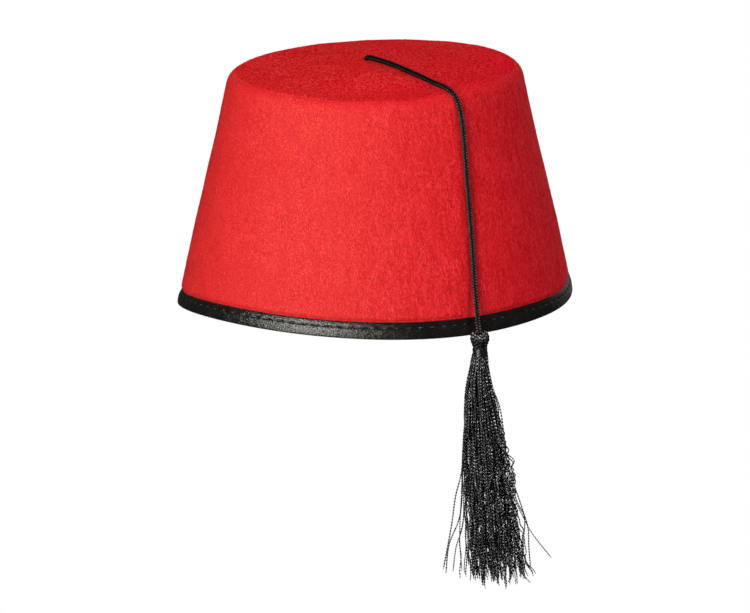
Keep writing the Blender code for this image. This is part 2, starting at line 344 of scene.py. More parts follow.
def addStudio():
    world = bpy.data.worlds.new("studio")
    bpy.context.scene.world = world
    world.use_nodes = True
    world.node_tree.nodes["Background"].inputs["Color"].default_value = (*studio["world"], 1.0)
    bpy.context.scene.view_settings.view_transform = "Standard"
    addFloor()
    for name, row in softboxes.items():
        addSoftbox(name, *row)


addCamera()
print("camera set")


# Cord

# the route of the cord's solid, drawn up to 2 mm closer to the felt: x, y, z in millimetres
cordRoute = [
    (-6.2, 0.3, 110.5), (-6.2, 0.3, 111.5), (-5.6, 0.3, 113.1), (-4.1, 0.3, 114.4), (-1.6, 0.2, 114.9),
    (3.0, 0.0, 114.8), (9.4, -0.4, 114.6), (19.3, -1.8, 114.3), (31.2, -3.9, 113.6), (42.0, -5.6, 112.8),
    (52.5, -7.4, 111.9), (58.8, -8.0, 111.4), (63.1, -7.7, 110.5), (66.1, -6.7, 108.3), (67.9, -5.8, 105.2),
    (69.1, -5.3, 101.3), (70.3, -5.1, 96.3), (71.6, -5.3, 90.0), (73.6, -6.2, 80.5), (75.8, -7.2, 70.0),
    (78.2, -8.2, 58.5), (80.5, -9.1, 46.5), (83.0, -10.3, 34.0), (85.5, -11.7, 22.5), (88.0, -13.0, 13.5),
    (90.1, -14.2, 7.0), (92.0, -15.4, 2.2), (93.8, -16.2, -1.0), (94.2, -16.4, -2.4),
]
cord = {
    "width": 2.6, "pairs": 2, "pitch": 2.7, "turn": -0.08,
    "yarnWide": 0.56, "yarnThick": 0.27, "yarnRing": 0.85, "weave": 0.19, "core": 0.70,
    "narrower": 0.25, "endLength": 0.8,  # how much the braid draws in at its ends, and over which length
    "shine": 0.98, "paintedTopShade": 0.3, "shoulder": (62.0, 84.0),  # shine: strength of the painted highlights, which are painted darker as shade up to the top's edge, this far along
    "step": 0.18, "sides": 8, "seed": 4,
}
filament = {"size": 0.00035, "depth": 0.00006}  # metres


def yarnFinish(name, dark, light, roughness, shine):
    # shiny twisted yarn: near black, with light spots where its tone is high, which on the braid, the
    # tassel's head and its strands are painted highlights, and a bump of filaments
    sheet = Sheet(name)
    cloud = sheet.noise(sheet.place(), filament["size"], rough=0.6)
    share = sheet.tone() * sheet.spread(cloud, 0.35, 0.65, 0.4, 1.3)
    colour = sheet.blend(share, (*dark, 1.0), (*light, 1.0))
    gloss = sheet.spread(cloud, 0.3, 0.7, roughness - 0.07, roughness + 0.1)
    filaments = sheet.noise(sheet.place((1.0, 1.0, 0.25)), filament["size"] * 0.6, rough=0.6)
    return sheet.finish(Base_Color=colour, Roughness=gloss, Specular_IOR_Level=shine,
                        Normal=sheet.bump(filaments, filament["depth"]))


def braidPaths(line, run, length):
    # Plain braid of four yarns: two wind one way and two the other at the same pitch. Each yarn's ring
    # swells and shrinks twice a pitch with the cosine of its way along, so it passes over and under in
    # turn.
    side = unit(np.cross((0.0, 1.0, 0.0), unit(np.gradient(line, axis=0))))
    over = np.cross(unit(np.gradient(line, axis=0)), side)
    beat = np.cos(2 * cord["pairs"] * np.pi * run[None] / cord["pitch"])
    atEnd = easeIn(np.abs(run - length / 2), length / 2 - cord["endLength"], length / 2)
    paths = []
    for way in (1, -1):
        start = np.arange(cord["pairs"])[:, None] * 2 * np.pi / cord["pairs"] + cord["turn"]
        angle = way * 2 * np.pi * run[None] / cord["pitch"] + start
        ring = (cord["yarnRing"] + way * cord["weave"] * beat) * (1 - cord["narrower"] * atEnd)[None]
        x, y = (ring * np.cos(angle))[..., None], (ring * np.sin(angle))[..., None]
        paths.append(line[None] + x * side[None] + y * over[None])
    return np.concatenate(paths)


def braidTone(run, angle):
    # Painted highlights: a yarn is lightest on its crown, where it passes over, and along the middle of its
    # outer face. They are painted darker where it lies on the top, as shade.
    rng = np.random.default_rng(cord["seed"])
    way = np.repeat([1, -1], cord["pairs"])[:, None]
    crownShare = way * np.cos(2 * cord["pairs"] * np.pi * run / cord["pitch"])[None]
    paintedGlint = np.clip((crownShare - 0.4) / 0.6, 0, 1) ** 2
    tone = cord["shine"] * paintedGlint * rng.uniform(0.5, 1, paintedGlint.shape)
    tone = tone * (cord["paintedTopShade"] + (1 - cord["paintedTopShade"]) * easeIn(run, *cord["shoulder"]))
    return (tone[..., None] * np.clip(np.sin(angle), 0, 1) ** 3).ravel()


def addBraid():
    # A yarn lies flat on the cord: its wide side is square to the way out from the middle line.
    length = smoothRoute(cordRoute, 10)[1]
    steps, sides = int(length / cord["step"]), cord["sides"]
    line, length = smoothRoute(cordRoute, steps)
    run = np.linspace(0, length, steps)
    paths = braidPaths(line, run, length)
    alongYarn = unit(np.gradient(paths, axis=1))
    across = unit(np.cross(unit(paths - line[None]), alongYarn))
    outwards = np.cross(alongYarn, across)
    angle = circle(sides)[None, None, :]
    x, y = cord["yarnWide"] * np.cos(angle)[..., None], cord["yarnThick"] * np.sin(angle)[..., None]
    yarns = (paths[:, :, None] + x * across[:, :, None] + y * outwards[:, :, None]).reshape(-1, 3)
    core, coreQuads = tubes(line[None, ::4], cord["core"], cord["core"], turns=0.0, sides=8,
                            reference=(0.0, 1.0, 0.0))
    pieces = [(yarns, bundleQuads(len(paths), steps, sides), braidTone(run, angle)),
              (core, coreQuads, np.zeros(len(core)))]
    # the light colour is that of the painted highlights on the yarns' crowns
    finish = yarnFinish("braid_yarn", dark=(0.0006, 0.0003, 0.0003), light=(0.23, 0.192, 0.182),
                        roughness=0.30, shine=0.0)
    return joined("braided_cord", pieces, finish), line, length


cordPiece, cordLine, cordLength = addBraid()
print("cord braided")


# Knot under the top

knot = {"ring": 1.75, "tube": 0.85, "yarn": 1.0, "rise": 2.3, "top": 109.3, "rib": 0.07,
        "steps": 160, "sides": 12}


def addKnot():
    # Overhand knot drawn tight: a line that goes three times through a ring while it goes twice round it
    t, angle = circle(knot["steps"]), circle(knot["sides"])
    ring = knot["ring"] + knot["tube"] * np.cos(3 * t)
    height = knot["top"] - knot["rise"] - 0.9 + knot["rise"] * np.sin(3 * t)
    path = roundUpright(cordRoute[0], ring, 2 * t, height)
    along = unit(np.roll(path, -1, axis=0) - np.roll(path, 1, axis=0))
    across = unit(np.cross(along, (0.3, 0.2, 1.0)))
    over = np.cross(along, across)
    rib = 1 + knot["rib"] * np.cos(6 * angle[None] + 22 * t[:, None])
    section = np.cos(angle)[None, :, None] * across[:, None] + np.sin(angle)[None, :, None] * over[:, None]
    points = (path[:, None] + knot["yarn"] * rib[..., None] * section).reshape(-1, 3)
    finish = yarnFinish("knot_yarn", dark=(0.003, 0.003, 0.003), light=(0.03, 0.028, 0.027),
                        roughness=0.45, shine=0.8)
    quads = gridQuads(knot["steps"], knot["sides"], closeRows=True)
    return addMesh("stopper_knot", points, quads, finish, np.full(len(points), 0.4))


knotPiece = addKnot()


# Tassel

tasselAt = np.array(cordRoute[-1][:2])
cameraAngle = math.radians(studio["azimuth"])
imageRight = np.array([math.cos(cameraAngle), math.sin(cameraAngle)])
imageNear = np.array([math.sin(cameraAngle), -math.cos(cameraAngle)])
tassel = {
    "lift": 1.1, "skirtTop": -13.16, "skirtLength": 108.6, "tuck": 1.6, "strands": 180,
    "drift": (4.7, 5.5), "lean": 0.9,  # millimetres: of the foot, and the other way under the neck
    "widthAt": (0, 0.05, 0.19, 0.41, 0.64, 0.92, 1.02),  # shares of the length
    "width": (3.1, 4.1, 7.3, 10.1, 12.3, 14.4, 15.0), "depth": 0.86,
    "strandWide": 0.40, "strandThick": 0.19, "strandPitch": 2.7, "strandStep": 0.42, "strandSides": 4,
    "paintedGlintPitch": 1.55, "astray": 1.1, "bodySides": 24, "seed": 11,
}
head = {
    "layers": ((15, 0.78, 0.52, 0.35), (19, 0.66, 0.45, 0.0)),  # yarns, half widths, how much further in
    "at": (0.0, 0.12, 0.26, 0.45, 0.62, 0.8, 0.92, 1.0),  # shares of the way from the notch to the neck
    "radius": (1.3, 1.65, 2.9, 3.75, 3.8, 3.2, 2.7, 2.6),
    "height": (-4.4, -2.2, -1.4, -3.0, -5.0, -7.2, -8.6, -9.6),
    "bodyRadius": (0.05, 1.2, 2.2, 2.9, 3.1, 2.8, 2.3, 2.2, 0.05),
    "bodyHeight": (-3.4, -3.3, -3.0, -3.8, -5.2, -7.2, -8.4, -10.5, -10.6),
    "valley": 1.5, "twist": 3.4, "run": 13, "steps": 34, "fineSteps": 60, "sides": 8,
}
neck = {
    "turns": 6.3, "radius": 3.12, "top": -9.15, "foot": -12.75, "threadWide": 0.42, "threadThick": 0.36,
    "steps": 420,
    "sleeveRadius": (2.7, 3.0, 3.0, 2.7), "sleeveHeight": (-9.0, -9.1, -12.9, -13.0),
}


def paintedGlints(rng, run, sides):
    # Painted highlights: light flecks that stand in for the glints of shiny yarn, one about every 1.5 mm of
    # its run, each of its own strength, in slow clusters. A fleck is a cosine's upper half, sharpened.
    count = len(run)
    pitch = tassel["paintedGlintPitch"] * rng.uniform(0.85, 1.2, count)[:, None]
    phase = run / pitch + rng.random(count)[:, None]
    own = np.sin(np.floor(phase) * 12.9898 + np.arange(count)[:, None] * 78.233) * 43758.5453
    strength = (own - np.floor(own)) ** 0.95 * rng.uniform(0.35, 1.2, count)[:, None]
    strength = np.clip(strength * (1 + 0.4 * np.sin(run / 3.7 + 6.28 * rng.random(count)[:, None])), 0, 1)
    dots = np.clip(np.cos(2 * np.pi * phase + np.pi), 0, 1) ** 2.5
    return np.repeat((strength * dots).ravel(), sides)


def turnedBody(radius, height):
    # a line of radii and heights turned round the tassel's upright
    radius, height = np.array(radius)[:, None], np.array(height)[:, None] + tassel["lift"]
    return roundUpright(tasselAt, radius, circle(tassel["bodySides"]), height).reshape(-1, 3)


def headLoops(rng, count, wide, thick, further):
    # Yarns folded over the head: each runs from the notch over the shoulder to the neck in a half
    # section of the head, and leans to one side on its way. The notch is a valley across the view, so
    # the loops beside it stand higher.
    s = np.linspace(0, 1, head["steps"])
    angle = (np.arange(count) + rng.uniform(-0.3, 0.3, count)) * 2 * np.pi / count
    lean = rng.uniform(-0.75, 0.75, count)[:, None] * (s - 0.5)[None]
    wave = 0.10 * np.sin(s[None] * rng.uniform(5, 9, count)[:, None] + rng.uniform(0, 6, count)[:, None])
    around = angle[:, None] + lean + wave
    swell = 1 + rng.uniform(-0.09, 0.09, count)[:, None] * np.sin(np.pi * s)[None]
    radius = (np.interp(s, head["at"], head["radius"])[None] - further) * swell
    valley = np.cos(around - math.atan2(imageNear[1], imageNear[0])) ** 2
    dip = head["valley"] * valley * np.exp(-((s - 0.2) / 0.22) ** 2)[None]
    height = np.interp(s, head["at"], head["height"])[None] - dip + rng.uniform(-0.25, 0.25, count)[:, None]
    paths = softened(roundUpright(tasselAt, radius, around, height + tassel["lift"]), 2)
    paths = np.stack([resample(paths[..., k], head["fineSteps"]) for k in range(3)], -1)
    turns = s[None] * 2 * np.pi * head["run"] / head["twist"] + rng.uniform(0, 6, count)[:, None]
    turns = resample(turns, head["fineSteps"])
    points, quads = tubes(paths, wide, thick, turns, head["sides"], (0.31, 0.77, 0.2))
    run = np.linspace(0, 11, head["fineSteps"])[None].repeat(count, 0)
    # painted light and shade: the head's painted highlights stay strong on its upper part, where the light
    # falls, and are painted out below it
    paintedLitTop = np.repeat(1 - 0.85 * easeIn(np.linspace(0, 1, head["fineSteps"]), 0.38, 0.62), head["sides"])
    return points, quads, paintedGlints(rng, run, head["sides"]) * np.tile(paintedLitTop, count)


def addHead():
    # two layers of loops with a plain body inside them
    rng = np.random.default_rng(tassel["seed"])
    pieces = [headLoops(rng, *row) for row in head["layers"]]
    body = turnedBody(head["bodyRadius"], head["bodyHeight"])
    bodyQuads = gridQuads(len(head["bodyRadius"]), tassel["bodySides"])[:, ::-1]
    pieces.append((body, bodyQuads, np.zeros(len(body))))
    # the light colour is that of the head's painted highlights
    finish = yarnFinish("head_yarn", dark=(0.001, 0.001, 0.001), light=(0.90, 0.89, 0.87),
                        roughness=0.22, shine=0.35)
    return joined("tassel_head", pieces, finish)


def addNeck():
    # thread wound round the neck as a close helix, with a plain sleeve under it
    t = np.linspace(0, 1, neck["steps"])
    radius = neck["radius"] + 0.05 * np.sin(t * 31)
    angle = t * 2 * np.pi * neck["turns"] + 0.6
    height = neck["top"] + (neck["foot"] - neck["top"]) * t + tassel["lift"]
    path = roundUpright(tasselAt, radius, angle, height)
    points, quads = tubes(path[None], neck["threadWide"], neck["threadThick"], turns=0.0, sides=8,
                          reference=(0.0, 0.0, 1.0))
    sleeve = turnedBody(neck["sleeveRadius"], neck["sleeveHeight"])
    sleeveQuads = gridQuads(len(neck["sleeveRadius"]), tassel["bodySides"], closeRows=True)[:, ::-1]
    pieces = [(points, quads, np.full(len(points), 0.5)), (sleeve, sleeveQuads, np.zeros(len(sleeve)))]
    finish = yarnFinish("winding_thread", dark=(0.001, 0.001, 0.001), light=(0.02, 0.02, 0.02),
                        roughness=0.15, shine=1.0)
    return joined("neck_winding", pieces, finish)


# Loose strands beside the bundle, one a row: the share of the length where a point stands, and
# millimetres to the image's right and nearer the camera, from the neck's middle
strays = [
    [(0.0, 1.5, 2.5), (0.13, 5.6, 4.0), (0.22, 8.9, 4.5), (0.33, 10.7, 4.5), (0.42, 11.6, 4.0),
     (0.51, 13.2, 3.0), (0.62, 14.1, 2.0), (0.72, 17.5, 1.0)],
    [(0.0, 2.0, 0.5), (0.3, 8.5, 2.0), (0.57, 13.5, 3.5), (0.71, 19.6, 5.0), (0.79, 24.4, 6.0),
     (0.89, 32.8, 7.0)],
    [(0.0, 1.8, 1.5), (0.35, 9.5, 3.0), (0.62, 16.0, 4.0), (0.72, 20.3, 3.5), (0.85, 19.0, 3.0),
     (0.88, 16.6, 3.0)],
    [(0.0, 2.2, -0.5), (0.4, 10.0, 1.0), (0.68, 19.2, 1.0), (0.77, 22.0, 0.5), (0.86, 22.4, 0.0),
     (0.96, 23.2, 0.0)],
    [(0.0, -1.5, 1.5), (0.3, -7.6, 2.5), (0.5, -9.2, 3.0), (0.62, -12.3, 3.5), (0.75, -14.4, 4.0),
     (0.94, -18.4, 5.0)],
    [(0.0, -1.8, -0.5), (0.4, -8.0, 0.0), (0.69, -9.8, 1.0), (0.84, -15.5, 1.5), (0.97, -17.2, 2.0)],
    [(0.0, -2.0, 0.8), (0.4, -8.4, 1.0), (0.72, -8.6, 2.0), (0.85, -12.2, 2.0), (0.96, -13.8, 2.0)],
    [(0.0, -1.2, 2.0), (0.35, -7.9, 4.0), (0.6, -9.5, 5.0), (0.8, -10.5, 5.0), (0.95, -9.6, 5.0)],
    [(0.0, 1.0, 2.8), (0.28, 6.6, 6.5), (0.4, 9.6, 7.5), (0.46, 11.8, 7.0), (0.5, 10.4, 7.5),
     (0.6, 12.8, 8.0), (0.8, 15.0, 7.0), (0.97, 18.6, 6.5)],
    [(0.0, 1.2, 2.2), (0.25, 7.4, 5.0), (0.36, 8.6, 6.5), (0.44, 11.2, 6.5), (0.52, 10.4, 6.0),
     (0.66, 14.5, 6.0), (0.83, 17.4, 6.0), (0.95, 19.8, 5.5)],
    [(0.0, -0.6, 2.9), (0.1, -0.8, 5.0), (0.2, -0.4, 7.0), (0.4, 0.4, 9.2), (0.6, 2.2, 10.8),
     (0.8, 3.6, 12.0), (0.97, 5.6, 12.8)],
    [(0.0, 0.2, 3.0), (0.1, 0.1, 5.1), (0.2, 0.4, 7.2), (0.4, 1.6, 9.4), (0.6, 2.9, 10.9),
     (0.8, 5.2, 12.2), (0.95, 7.3, 12.9)],
    [(0.0, 0.5, 2.9), (0.3, 3.6, 8.0), (0.48, 5.2, 9.5), (0.6, 2.4, 10.5), (0.72, 4.6, 11.0),
     (0.99, 7.0, 11.5)],
]
goldenAngle = 2.399963  # spreads the strands evenly in their round section
strandWaves = ((0.62, 0.9), (0.31, 0.55), (0.14, 0.24))  # length as a share of the skirt's, half height
skirtStart = tassel["skirtTop"] + tassel["tuck"]  # the strands start a little way inside the neck
skirtDrop = tassel["skirtLength"] + tassel["tuck"]


def skirtMiddle(share):
    # the skirt's middle line: a drift that grows with the share's power 1.6, less a bell curve
    drift = share[..., None] ** 1.6 * np.array(tassel["drift"])
    lean = tassel["lean"] * np.exp(-((share - 0.15) / 0.13) ** 2)
    return tasselAt + drift - lean[..., None] * imageRight


def strandLengths(rng, count, steps):
    # each strand's way down as shares of the skirt's length, where some strands are cut shorter
    cuts = rng.choice([1.0, 0.985, 0.965, 0.94, 0.9], count, p=[0.3, 0.3, 0.2, 0.14, 0.06])
    share = np.linspace(0, 1, steps)[None] * cuts[:, None]
    return share * (1.015 - 0.03 * rng.random(count))[:, None]


def bundlePaths(steps):
    # A strand keeps its place in the bundle's round section, which widens down the skirt by a short
    # table. Three slow waves bend it, more towards its foot and where it lies outside, and it strays a
    # little at its foot.
    rng = np.random.default_rng(tassel["seed"] + 1)
    count = tassel["strands"]
    share = strandLengths(rng, count, steps)
    reach = np.sqrt((np.arange(count) + 0.5) / count)
    around = np.arange(count) * goldenAngle + rng.normal(0, 0.15, count)
    width = np.interp(share, tassel["widthAt"], tassel["width"])
    side, near = reach * np.cos(around), reach * np.sin(around)
    loose = np.clip(side, 0, 1) ** 2 * reach
    bendSide, bendNear = np.zeros_like(share), np.zeros_like(share)
    for length, size in strandWaves:
        phase = rng.uniform(0, 2 * np.pi, (count, 2))
        way = 2 * np.pi * share * (1 / length) * rng.uniform(0.75, 1.3, count)[:, None]
        amount = size * rng.uniform(0.5, 1.5, count)[:, None] * (0.2 + share) * (1 + 1.1 * loose)[:, None]
        bendSide = bendSide + amount * np.sin(way + phase[:, :1])
        bendNear = bendNear + amount * np.sin(way + phase[:, 1:])
    atFoot = easeIn(share, 0.6, 1.05)
    astray = tassel["astray"]
    offSide = side[:, None] * width + bendSide + rng.normal(0, astray, count)[:, None] * atFoot
    depth = width * tassel["depth"]
    offNear = near[:, None] * depth + bendNear + rng.normal(0, astray, count)[:, None] * atFoot
    # strands at the right of the picture are crimped half way down
    crimps = tassel["skirtLength"] / rng.uniform(5.5, 9.5, count)[:, None]
    crimp = 0.95 * np.sin(2 * np.pi * share * crimps + rng.uniform(0, 6.3, count)[:, None])
    crimped = easeIn(share, 0.22, 0.4) * (1 - 0.6 * easeIn(share, 0.6, 0.8))
    offSide = offSide + crimp * np.clip(side, 0.1, 1)[:, None] ** 1.5 * crimped
    flat = skirtMiddle(share) + offSide[..., None] * imageRight + offNear[..., None] * imageNear
    level = skirtStart + tassel["lift"] * (1 - share) - skirtDrop * share
    return np.concatenate([flat, level[..., None]], -1)


def strayPaths(steps):
    # the loose strands as curves through their rows
    paths = []
    for row in strays:
        at, right, near = np.array(row).T
        flat = tasselAt + right[:, None] * imageRight + near[:, None] * imageNear
        route = np.column_stack([flat, skirtStart - skirtDrop * at])
        paths.append(smoothRoute(route, steps)[0])
    return np.array(paths)


def addStrands(name, paths, seed, material):
    # The yarn's section is a flat ellipse that turns along it like a twisted ribbon, so its edge glints.
    rng = np.random.default_rng(seed)
    count = len(paths)
    lengths = np.linalg.norm(np.diff(paths, axis=1), axis=2)
    run = np.concatenate([np.zeros((count, 1)), np.cumsum(lengths, axis=1)], 1)
    pitch = tassel["strandPitch"] * rng.uniform(0.85, 1.2, count)[:, None]
    turns = 2 * np.pi * run / pitch + rng.uniform(0, 6.3, count)[:, None]
    atTip = easeIn(run, run[:, -1:] - 2.5, run[:, -1:])
    size = rng.uniform(0.85, 1.15, count)[:, None] * (1 - 0.45 * atTip)
    wide, thick = tassel["strandWide"] * size, tassel["strandThick"] * size
    points, quads = tubes(paths, wide, thick, turns, tassel["strandSides"], (0.62, 0.41, 0.1))
    return addMesh(name, points, quads, material, paintedGlints(rng, run, tassel["strandSides"]))


def addSkirt():
    # the bundle in three pieces of equal size, its strands dealt out at random, and the loose strands
    steps = int(tassel["skirtLength"] / tassel["strandStep"])
    main = bundlePaths(steps)
    # the light colour is that of the strands' painted highlights
    yarn = yarnFinish("skirt_yarn", dark=(0.0006, 0.0006, 0.0006), light=(0.97, 0.96, 0.94),
                      roughness=0.20, shine=0.6)
    dealt = np.split(np.random.default_rng(5).permutation(len(main)), 3)
    skirt = []
    for k, word in enumerate(("one", "two", "three")):
        skirt.append(addStrands("skirt_strands_" + word, main[dealt[k]], 20 + k, yarn))
    return [*skirt, addStrands("loose_strands", strayPaths(steps), 31, yarn)]


headPiece, windingPiece, skirtPieces = addHead(), addNeck(), addSkirt()
dress(cordPiece, "cord")
dress(knotPiece, "cord_knot")
dress(headPiece, "tassel")
dress(windingPiece, "tassel_wrap")
for piece in skirtPieces:
    dress(piece, "tassel")
[tuple(point * mm) for point in cordLine[::14]] + [tuple(cordLine[-1] * mm)]
print("tassel hung")


# Crown

crown = {
    "rimRadius": 93.85, "topRadius": 69.2, "height": 111.4, "edge": 7.5, "dome": 2.0, "wall": 2.0,
    "foot": 1.1, "rimOval": 0.047, "topOval": 0.056, "rimWave": 3.1, "lean": (0.9, 1.05),
    "foldAngle": 49.5, "foldDip": 3.3,  # the rim dips where the hat was once folded flat
    "slotAbove": (1.75, 2.15, 1.5), "slotBelow": (0.35, 1.55, 1.5),  # shift along X, half length and width
    "sag": ((50.0, 25.0, 3.4), (71.0, 8.0, 1.3), (124.5, 22.0, 1.6)),  # azimuth, spread in degrees, depth
    "swell": 0.95, "relief": 0.16, "fineRelief": 0.035, "pucker": 0.95,
    "outerSteps": (62, 14, 96), "innerSteps": (24, 7, 34), "napRows": 66, "around": 368, "seed": 2,
}
tape = {
    "height": 8.1, "thick": 0.8, "gap": 0.12, "loft": 0.18, "stitchBelowTop": 2.7, "narrower": 0.21,
    "groove": 0.50, "puff": 0.30, "pull": 0.07, "wave": 0.10, "around": 1000,
    "stitches": 100, "stitchLength": 0.52, "thread": 0.27, "threadSides": 6, "foldRise": 0.62, "seed": 7,
}
wallLean = math.atan2(crown["rimRadius"] - crown["topRadius"], crown["height"])


def atFold(angle):
    # 1 at both ends of the fold line, falling to 0 within some 40 degrees, as a cosine's power 8
    return np.cos(angle - math.radians(crown["foldAngle"])) ** 8


def hatPoint(radius, height, angle):
    # mean radius, height and angle to x, y, z: an oval that is longer along Y, a top that leans, and a
    # rim that dips at both sides
    share = np.clip(height / crown["height"], 0, 1)
    oval = 1 - ((1 - share) * crown["rimOval"] + share * crown["topOval"]) * np.cos(2 * angle)
    x = radius * oval * np.cos(angle) + crown["lean"][0] * share
    y = radius * oval * np.sin(angle) + crown["lean"][1] * share
    dip = crown["rimWave"] * np.cos(2 * angle) + crown["foldDip"] * atFold(angle)
    return np.stack([x, y, height - (1 - share) ** 2 * dip], -1)


def wallRadius(height, inset):
    # the straight wall's mean radius at a height, with the inset measured square to the wall
    taper = (crown["rimRadius"] - crown["topRadius"]) * height / crown["height"]
    return crown["rimRadius"] - taper - inset / math.cos(wallLean)


def topFlat(inset):
    # the radius of the rounded edge, and that of the flat top inside it
    edge = crown["edge"] - inset
    corner = crown["topRadius"] - inset * (1 - math.sin(wallLean)) / math.cos(wallLean)
    return edge, corner - edge * math.tan((math.pi / 2 - wallLean) / 2)


def feltSection(inset, topSteps, edgeSteps, wallSteps):
    # half section of one face of the felt: over the top, round the edge and down the wall
    edge, flat = topFlat(inset)
    lowest = crown["foot"] + 0.5
    radius = 1.0 + (flat - 1.0) * np.linspace(0.0, 1, topSteps, endpoint=False)
    height = crown["height"] - inset + crown["dome"] * (1 - (radius / flat) ** 2) ** 2
    turn = np.linspace(0, math.pi / 2 - wallLean, edgeSteps)
    radius = np.concatenate([radius, flat + edge * np.sin(turn)])
    height = np.concatenate([height, crown["height"] - inset - edge + edge * np.cos(turn)])
    down = lowest + (height[-1] - lowest) * np.linspace(1, 0, wallSteps + 1)[1:] ** 1.35
    return np.concatenate([radius, wallRadius(down, inset)]), np.concatenate([height, down])


def intoSlot(points, radius, shift, halfLong, halfWide):
    # near the middle of the top, rings move over to the cord's slot and take its shape
    middle = np.array([cordRoute[0][0] + shift, cordRoute[0][1]])
    angle = circle(points.shape[1])
    slot = np.stack([halfLong * np.cos(angle), halfWide * np.sin(angle)], -1)
    share = (1 - easeIn(radius, 2.0, 34.0))[:, None, None]
    moved = points.copy()
    moved[..., :2] = points[..., :2] * (1 - share) + (middle + slot[None] * radius[:, None, None]) * share
    return moved


def topHeight(points, inset):
    # the dome over the moved rings: (1 - q squared) squared, with q the share of the flat's radius
    flat = topFlat(inset)[1]
    x = (points[..., 0] - crown["lean"][0]) / (1 - crown["topOval"])
    y = (points[..., 1] - crown["lean"][1]) / (1 + crown["topOval"])
    q = np.clip(np.hypot(x, y) / flat, 0, 1)
    return crown["height"] - inset + crown["dome"] * (1 - q * q) ** 2


def sagged(points):
    # The shoulder has sagged a little. The sag is each row's depth times a bell curve round the hat,
    # grows over the outer half of the top and fades out down the wall.
    azimuth = np.degrees(np.arctan2(points[..., 0], -points[..., 1]))
    depth = sum(deep * np.exp(-0.5 * ((azimuth - at) / spread) ** 2) for at, spread, deep in crown["sag"])
    outside = easeIn(np.hypot(points[..., 0], points[..., 1]), 26.0, 64.0)
    share = outside * easeIn(points[..., 2], 66.0, 107.0)
    return points - np.stack([0 * depth, 0 * depth, depth * share], -1)


def feltFace(radius, height, angle, inset, slot):
    # one face of the felt: its section carried round the oval, with the top's rings led into the slot
    face = hatPoint(radius[:, None], height[:, None], angle[None])
    top = height > crown["height"] - inset - 0.01
    face[top] = intoSlot(face[top], radius[top], *slot)
    face[top, :, 2] = topHeight(face[top], inset)
    return sagged(face)


def slowWaves(points, sizes, seed):
    # soft relief: sums of five sine waves across space for each size, about -1 to 1
    rng = np.random.default_rng(seed)
    total = np.zeros(points.shape[:-1])
    for size in sizes:
        for _ in range(5):
            way = unit(rng.normal(size=3))
            total += np.sin(points @ way * 2 * np.pi / size + rng.uniform(0, 6.3)) / 5
    return total


def fromCord(points, angle):
    # millimetres round the wall from the cord at the same height
    down = cordLine[cordLine[:, 2] < 104]
    cordAngle = np.interp(-points[..., 2], -down[:, 2], np.arctan2(down[:, 1], down[:, 0]))
    return np.abs(np.arctan2(np.sin(angle[None] - cordAngle), np.cos(angle[None] - cordAngle))) * 85


def withRelief(outer, height, angle):
    # Dents and fine pits along the normal, none where the tape grips the rim or the cord goes in, and a
    # swell above the tape. The cord presses a shallow bed into them.
    normal = unit(np.cross(np.gradient(outer, axis=1), np.gradient(outer, axis=0)))
    normal *= np.sign((normal * (outer - np.array([0, 0, 40.0]))).sum(-1, keepdims=True))
    tapeTop = tape["height"] * (1 - tape["narrower"] * atFold(angle))[None]
    aboveTape = easeIn(height[:, None], tapeTop - 0.2, tapeTop + 1.5)
    swell = crown["swell"] * aboveTape * (1 - easeIn(height, 24.0, 78.0))[:, None]
    fromBend = np.hypot(outer[..., 0] - cordRoute[3][0], outer[..., 1] - cordRoute[3][1])
    free = easeIn(height, 9.0, 22.0)[:, None] * easeIn(fromBend, 2.0, 9.0)
    relief = crown["relief"] * slowWaves(outer, (38.0, 21.0), crown["seed"])
    relief = relief + crown["fineRelief"] * slowWaves(outer, (6.5, 3.7), crown["seed"] + 1)
    away = fromCord(outer, angle)
    rise = relief * free * easeIn(away, 1.0, 8.0) + swell * easeIn(away, 1.2, 7.0)
    return outer + normal * rise[..., None], normal


def pucker(outer):
    # the felt rises round the cord where it goes in, as a bell curve, but not under the cord itself
    x, y = cordRoute[2][:2]
    beside = np.abs(outer[..., 1] - y)
    ring = np.hypot(outer[..., 0] - x - 0.6, outer[..., 1] - y)
    clear = np.maximum(easeIn(beside, 1.0, 2.0), easeIn(x - 2.2 - outer[..., 0], -0.5, 0.6))
    return np.where(outer[..., 2] > 108, crown["pucker"] * np.exp(-(ring / 3.6) ** 2) * clear, 0)


def addCrown():
    # one closed grid of rings: down the outer face, round the foot, up the inner face and out through
    # the slot
    angle = circle(crown["around"])
    outR, outZ = feltSection(0.0, *crown["outerSteps"])
    inR, inZ = feltSection(crown["wall"], *crown["innerSteps"])
    outer = feltFace(outR, outZ, angle, 0.0, crown["slotAbove"])
    inner = feltFace(inR, inZ, angle, crown["wall"], crown["slotBelow"])
    footR = wallRadius(crown["foot"], crown["wall"] / 2) + np.array([0.5, 0.0, -0.5])
    footZ = crown["foot"] + np.array([0.05, 0.0, 0.05])
    foot = hatPoint(footR[:, None], footZ[:, None], angle[None])
    outer, normal = withRelief(outer, outZ, angle)
    outer[..., 2] += pucker(outer)
    throughSlot = outer[0][None] + (inner[0] - outer[0])[None] * np.array([0.33, 0.67])[:, None, None]
    grid = np.concatenate([outer, foot, inner[::-1], throughSlot[::-1]])
    quads = gridQuads(len(grid), crown["around"], closeRows=True)[:, ::-1]
    wallFelt = feltFinish("red_felt_wall", shine=0.5, paintedSheen=0.0)
    piece = addMesh("felt_crown", grid.reshape(-1, 3), quads, wallFelt)
    # the top's nap lies flat and dull, and its lighter reds carry a painted milky sheen
    piece.data.materials.append(feltFinish("red_felt_top", shine=0.0, paintedSheen=0.018))
    onTop = np.arange(len(quads)) < crown["napRows"] * crown["around"]
    piece.data.polygons.foreach_set("material_index", onTop.astype(np.int32))
    return piece, outer, normal, outZ


